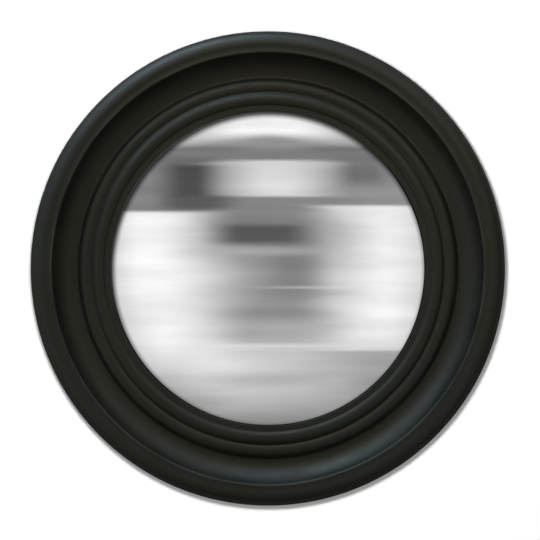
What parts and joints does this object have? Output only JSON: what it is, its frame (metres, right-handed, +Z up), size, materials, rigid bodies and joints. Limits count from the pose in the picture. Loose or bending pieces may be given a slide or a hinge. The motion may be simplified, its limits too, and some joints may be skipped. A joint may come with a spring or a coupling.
{
  "type": "round convex wall mirror",
  "caption": "Round wall mirror: a bulged glass in a turned frame with a rim bead, a cove and two inner beads, held by turn buttons and hung by a swinging ring.",
  "frame": {"origin": "on the mirror's axis, in the plane of the wall, which is the plane of the four bumper faces", "axes": "+Y points into the wall, so the glass faces -Y; +Z is up, towards the hanger; +X is to the right when the mirror is seen from the front"},
  "size_m": [0.3734, 0.0449, 0.3734],
  "materials": {
    "frame_paint": "satin black paint",
    "mirror_glass": "polished",
    "felt": "felted",
    "foam": "open foam",
    "fibreboard": "raw fibreboard",
    "hardboard": "smooth hardboard",
    "plated_steel": "zinc plated",
    "bumper_rubber": "matt"
  },
  "bodies": {
    "mirror_frame": {"outer_frame_ring": "frame_paint", "inner_bead_ring": "frame_paint", "convex_mirror_glass": "mirror_glass", "felt_seat_ring": "felt", "foam_strip_ring": "foam", "packing_ring": "fibreboard", "backboard": "hardboard", "hanger_plate": "plated_steel", "hanger_screw_left": "plated_steel", "hanger_screw_right": "plated_steel", "turn_button_screw_1": "plated_steel", "turn_button_screw_2": "plated_steel", "turn_button_screw_3": "plated_steel", "turn_button_screw_4": "plated_steel", "turn_button_screw_5": "plated_steel", "turn_button_screw_6": "plated_steel", "wall_bumper_1": "bumper_rubber", "wall_bumper_2": "bumper_rubber", "wall_bumper_3": "bumper_rubber", "wall_bumper_4": "bumper_rubber"},
    "hanging_ring": {"hanging_ring": "plated_steel"},
    "turn_button_1": {"turn_button_1": "plated_steel"},
    "turn_button_2": {"turn_button_2": "plated_steel"},
    "turn_button_3": {"turn_button_3": "plated_steel"},
    "turn_button_4": {"turn_button_4": "plated_steel"},
    "turn_button_5": {"turn_button_5": "plated_steel"},
    "turn_button_6": {"turn_button_6": "plated_steel"}
  },
  "joints": [
    {"name": "hanging_ring_swing", "type": "hinge", "parent": "mirror_frame", "child": "hanging_ring", "pos_m": [0, -0.0027, 0.16877], "axis": [1, 0, 0], "range_deg": [0, 180]},
    {"name": "turn_button_1_turn", "type": "hinge", "parent": "mirror_frame", "child": "turn_button_1", "pos_m": [0.15895, -0.0043, 0], "axis": [0, 1, 0], "continuous": true},
    {"name": "turn_button_2_turn", "type": "hinge", "parent": "mirror_frame", "child": "turn_button_2", "pos_m": [0.07948, -0.0043, 0.13766], "axis": [0, 1, 0], "continuous": true},
    {"name": "turn_button_3_turn", "type": "hinge", "parent": "mirror_frame", "child": "turn_button_3", "pos_m": [-0.07948, -0.0043, 0.13766], "axis": [0, 1, 0], "continuous": true},
    {"name": "turn_button_4_turn", "type": "hinge", "parent": "mirror_frame", "child": "turn_button_4", "pos_m": [-0.15895, -0.0043, 0], "axis": [0, 1, 0], "continuous": true},
    {"name": "turn_button_5_turn", "type": "hinge", "parent": "mirror_frame", "child": "turn_button_5", "pos_m": [-0.07948, -0.0043, -0.13766], "axis": [0, 1, 0], "continuous": true},
    {"name": "turn_button_6_turn", "type": "hinge", "parent": "mirror_frame", "child": "turn_button_6", "pos_m": [0.07948, -0.0043, -0.13766], "axis": [0, 1, 0], "continuous": true}
  ]
}
